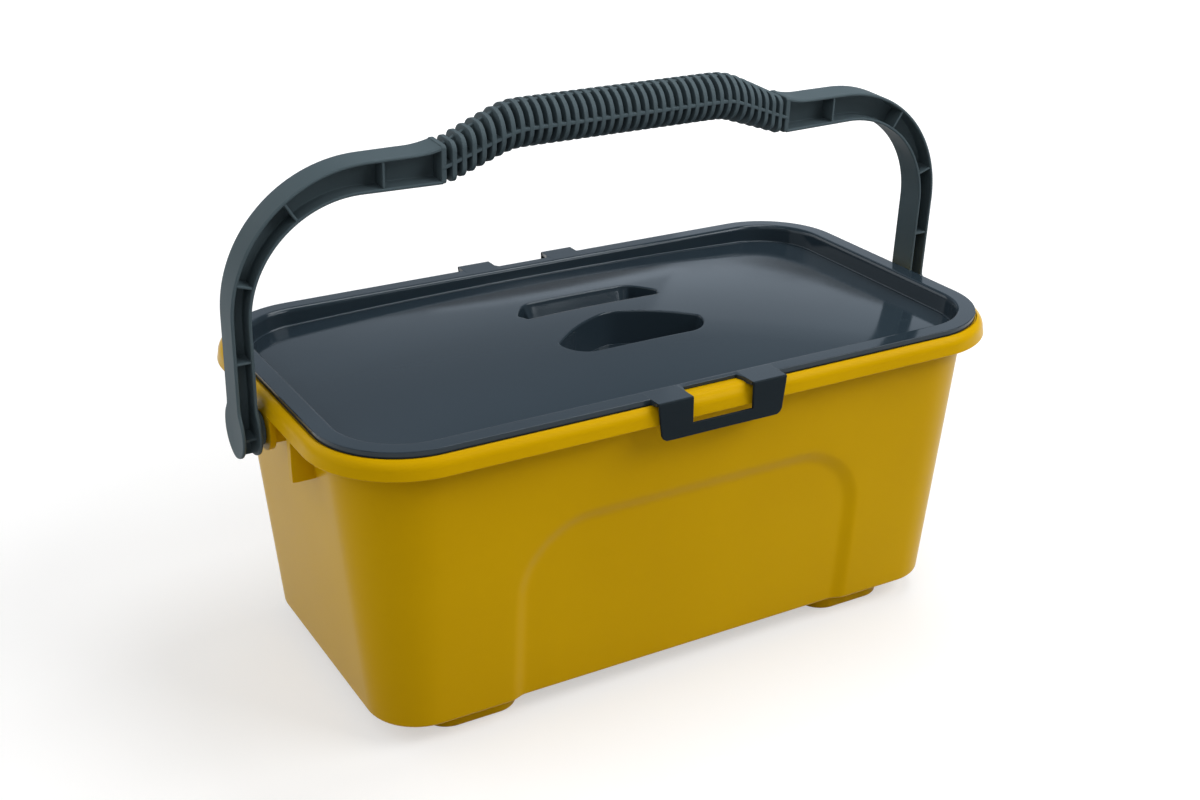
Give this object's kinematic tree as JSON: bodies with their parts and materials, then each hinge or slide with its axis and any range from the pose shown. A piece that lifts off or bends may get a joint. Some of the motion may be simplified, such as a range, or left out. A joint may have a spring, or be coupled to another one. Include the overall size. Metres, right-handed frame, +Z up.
{
  "type": "window cleaning bucket",
  "caption": "Rectangular moulded bucket with an overhanging rim, hollow feet, a clip-down lid with finger pockets and a swinging bail handle with a ribbed grip.",
  "frame": {"origin": "centre of the bucket's length and width, on the plane under its feet", "axes": "+X along the length, towards the right end seen from the front; +Y towards the back; +Z up"},
  "size_m": [0.5652, 0.301, 0.4046],
  "materials": {
    "tub_yellow": "semi-gloss moulded",
    "lid_slate": "gloss moulded",
    "handle_grey": "satin moulded"
  },
  "bodies": {
    "tub_body": {"tub": "tub_yellow", "rim": "tub_yellow", "left_pivot_bracket": "tub_yellow", "right_pivot_bracket": "tub_yellow", "foot_front_left": "tub_yellow", "foot_front_right": "tub_yellow", "foot_rear_left": "tub_yellow", "foot_rear_right": "tub_yellow"},
    "lid_body": {"lid_flange": "lid_slate", "lid_panel": "lid_slate", "front_finger_pocket": "lid_slate", "rear_finger_pocket": "lid_slate"},
    "front_latch_body": {"front_latch": "lid_slate"},
    "rear_latch_body": {"rear_latch": "lid_slate"},
    "handle_body": {"handle_left_arm": "handle_grey", "handle_right_arm": "handle_grey", "handle_grip": "handle_grey"}
  },
  "joints": [
    {"name": "handle_swing", "type": "hinge", "parent": "tub_body", "child": "handle_body", "pos_m": [0, 0, 0.2055], "axis": [1, 0, 0], "range_deg": [-121, 115]},
    {"name": "lid_lift", "type": "slide", "parent": "tub_body", "child": "lid_body", "axis": [0, 0, 1], "range_m": [0, 0.08]},
    {"name": "front_latch_fold", "type": "hinge", "parent": "lid_body", "child": "front_latch_body", "pos_m": [0, -0.1494, 0.2324], "axis": [-1, 0, 0], "range_deg": [-3.6, 25]},
    {"name": "rear_latch_fold", "type": "hinge", "parent": "lid_body", "child": "rear_latch_body", "pos_m": [0, 0.1494, 0.2324], "axis": [1, 0, 0], "range_deg": [-3.6, 25]}
  ]
}
